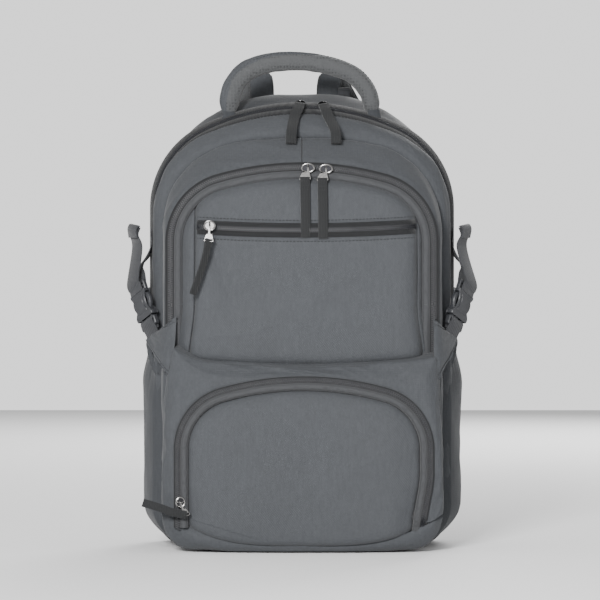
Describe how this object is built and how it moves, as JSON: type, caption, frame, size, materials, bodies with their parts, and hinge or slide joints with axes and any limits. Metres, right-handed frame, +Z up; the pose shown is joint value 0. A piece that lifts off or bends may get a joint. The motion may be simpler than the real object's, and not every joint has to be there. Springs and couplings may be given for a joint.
{
  "type": "daypack",
  "caption": "Grey daypack with arched zips, front flap, two zipped pockets, bottle pockets, padded straps and handle.",
  "frame": {"origin": "centre of the base, on the surface the pack stands on", "axes": "+X to the right seen from the front, front faces -Y, back panel faces +Y, +Z up"},
  "size_m": [0.3552, 0.2255, 0.5014],
  "materials": {
    "body_fabric": "matte woven polyester",
    "panel_fabric": "matte twill woven polyester",
    "pocket_fabric": "matte woven polyester",
    "air_mesh": "matte spacer mesh",
    "lining": "smooth woven lining",
    "stiffener": "matte",
    "zip_tape": "matte ribbed tape",
    "zip_metal": "polished gunmetal",
    "pull_tape": "matte ribbed tape",
    "webbing": "matte woven webbing",
    "buckle_plastic": "moulded satin acetal"
  },
  "bodies": {
    "pack": {"rear_shell": "body_fabric", "back_panel": "air_mesh", "laptop_divider": "lining", "compartment_divider": "lining", "base_board": "stiffener", "back_pad_left": "air_mesh", "back_pad_right": "air_mesh", "lower_front_shell": "body_fabric", "main_zip_rear": "zip_tape", "lower_pocket_body": "body_fabric", "lower_zip_outer": "zip_tape", "side_pocket_left": "pocket_fabric", "side_pocket_right": "pocket_fabric", "hang_loop": "webbing", "wing_left": "panel_fabric", "plug_webbing_left": "webbing", "plug_left": "buckle_plastic", "upper_webbing_left": "webbing", "anchor_tab_left": "webbing", "wing_right": "panel_fabric", "plug_webbing_right": "webbing", "plug_right": "buckle_plastic", "upper_webbing_right": "webbing", "anchor_tab_right": "webbing"},
    "main_flap": {"main_flap_shell": "body_fabric", "front_gusset": "body_fabric", "main_zip_front": "zip_tape", "front_zip_outer": "zip_tape"},
    "front_flap": {"front_panel": "panel_fabric", "front_zip_inner": "zip_tape", "upper_pocket_zip": "zip_tape"},
    "lower_flap": {"lower_panel": "panel_fabric", "lower_zip_inner": "zip_tape"},
    "handle": {"grab_handle": "air_mesh"},
    "buckle_left": {"buckle_socket_left": "buckle_plastic", "webbing_tail_left": "webbing"},
    "strap_left": {"shoulder_strap_left": "air_mesh", "ladder_lock_left": "buckle_plastic"},
    "strap_webbing_left": {"lower_webbing_left": "webbing"},
    "buckle_right": {"buckle_socket_right": "buckle_plastic", "webbing_tail_right": "webbing"},
    "strap_right": {"shoulder_strap_right": "air_mesh", "ladder_lock_right": "buckle_plastic"},
    "strap_webbing_right": {"lower_webbing_right": "webbing"},
    "main_left_slide": {"main_left_slider": "zip_metal"},
    "main_left_pull": {"main_left_tape": "pull_tape"},
    "main_right_slide": {"main_right_slider": "zip_metal"},
    "main_right_pull": {"main_right_tape": "pull_tape"},
    "front_left_slide": {"front_left_slider": "zip_metal"},
    "front_left_pull": {"front_left_tab": "zip_metal", "front_left_tape": "pull_tape"},
    "front_right_slide": {"front_right_slider": "zip_metal"},
    "front_right_pull": {"front_right_tab": "zip_metal", "front_right_tape": "pull_tape"},
    "upper_pocket_slide": {"upper_pocket_slider": "zip_metal"},
    "upper_pocket_pull": {"upper_pocket_tab": "zip_metal", "upper_pocket_tape": "pull_tape"},
    "lower_pocket_slide": {"lower_pocket_slider": "zip_metal"},
    "lower_pocket_pull": {"lower_pocket_tab": "zip_metal", "lower_pocket_tape": "pull_tape"}
  },
  "joints": [
    {"name": "main_flap_open", "type": "hinge", "parent": "pack", "child": "main_flap", "pos_m": [0, -0.0935, 0.238], "axis": [1, 0, 0], "range_deg": [0, 25]},
    {"name": "front_flap_open", "type": "hinge", "parent": "main_flap", "child": "front_flap", "pos_m": [0, -0.0935, 0.246], "axis": [1, 0, 0], "range_deg": [0, 70]},
    {"name": "lower_flap_open", "type": "hinge", "parent": "pack", "child": "lower_flap", "pos_m": [0, -0.1125, 0.03], "axis": [1, 0, 0], "range_deg": [0, 75]},
    {"name": "main_left_slide", "type": "hinge", "parent": "main_flap", "child": "main_left_slide", "pos_m": [0, 0.0035, 0.217], "axis": [0, 1, 0], "range_deg": [-25, 0]},
    {"name": "main_right_slide", "type": "hinge", "parent": "main_flap", "child": "main_right_slide", "pos_m": [0, 0.0035, 0.217], "axis": [0, 1, 0], "range_deg": [0, 20]},
    {"name": "front_left_slide", "type": "hinge", "parent": "front_flap", "child": "front_left_slide", "pos_m": [0, -0.0685, 0.076], "axis": [0, 1, 0], "range_deg": [-16, 0]},
    {"name": "front_right_slide", "type": "hinge", "parent": "front_flap", "child": "front_right_slide", "pos_m": [0, -0.0685, 0.076], "axis": [0, 1, 0], "range_deg": [0, 11]},
    {"name": "upper_pocket_slide", "type": "slide", "parent": "front_flap", "child": "upper_pocket_slide", "axis": [1, 0, 0], "range_m": [0, 0.12]},
    {"name": "lower_pocket_slide", "type": "slide", "parent": "lower_flap", "child": "lower_pocket_slide", "axis": [0, 0, 1], "range_m": [0, 0.046]},
    {"name": "main_left_pull_lift", "type": "hinge", "parent": "main_left_slide", "child": "main_left_pull", "pos_m": [-0.002, 0.00163, 0.45746], "axis": [-1, 0, 0], "range_deg": [0, 100]},
    {"name": "main_right_pull_lift", "type": "hinge", "parent": "main_right_slide", "child": "main_right_pull", "pos_m": [0.022, 0.00163, 0.45643], "axis": [-1, 0, 0], "range_deg": [0, 100]},
    {"name": "front_left_pull_lift", "type": "hinge", "parent": "front_left_slide", "child": "front_left_pull", "pos_m": [0.006, -0.07423, 0.3848], "axis": [-1, 0, 0], "range_deg": [0, 100]},
    {"name": "front_right_pull_lift", "type": "hinge", "parent": "front_right_slide", "child": "front_right_pull", "pos_m": [0.024, -0.07423, 0.38392], "axis": [-1, 0, 0], "range_deg": [0, 100]},
    {"name": "upper_pocket_pull_lift", "type": "hinge", "parent": "upper_pocket_slide", "child": "upper_pocket_pull", "pos_m": [-0.092, -0.0938, 0.325], "axis": [-1, 0, 0], "range_deg": [0, 100]},
    {"name": "lower_pocket_pull_lift", "type": "hinge", "parent": "lower_pocket_slide", "child": "lower_pocket_pull", "pos_m": [-0.1205, -0.1083, 0.0505], "axis": [-1, 0, 0], "range_deg": [0, 100]},
    {"name": "buckle_left_release", "type": "slide", "parent": "pack", "child": "buckle_left", "axis": [-0.3015, 0.3015, 0.9045], "range_m": [0, 0.016]},
    {"name": "buckle_right_release", "type": "slide", "parent": "pack", "child": "buckle_right", "axis": [0.3015, 0.3015, 0.9045], "range_m": [0, 0.016]},
    {"name": "handle_fold", "type": "hinge", "parent": "pack", "child": "handle", "pos_m": [0, 0.016, 0.44], "axis": [1, 0, 0], "range_deg": [-20, 50]},
    {"name": "strap_left_swing", "type": "hinge", "parent": "pack", "child": "strap_left", "pos_m": [-0.042, 0.0905, 0.452], "axis": [1, 0, 0], "range_deg": [0, 8]},
    {"name": "strap_webbing_left_swing", "type": "hinge", "parent": "pack", "child": "strap_webbing_left", "pos_m": [-0.133, 0.0902, 0.047], "axis": [1, 0, 0], "range_deg": [-25, 0]},
    {"name": "strap_right_swing", "type": "hinge", "parent": "pack", "child": "strap_right", "pos_m": [0.028, 0.0905, 0.452], "axis": [1, 0, 0], "range_deg": [0, 8]},
    {"name": "strap_webbing_right_swing", "type": "hinge", "parent": "pack", "child": "strap_webbing_right", "pos_m": [0.133, 0.0902, 0.047], "axis": [1, 0, 0], "range_deg": [-25, 0]}
  ],
  "couplings": [
    {"joint": "strap_webbing_left_swing", "follows": "strap_left_swing", "ratio": -3},
    {"joint": "strap_webbing_right_swing", "follows": "strap_right_swing", "ratio": -3}
  ]
}
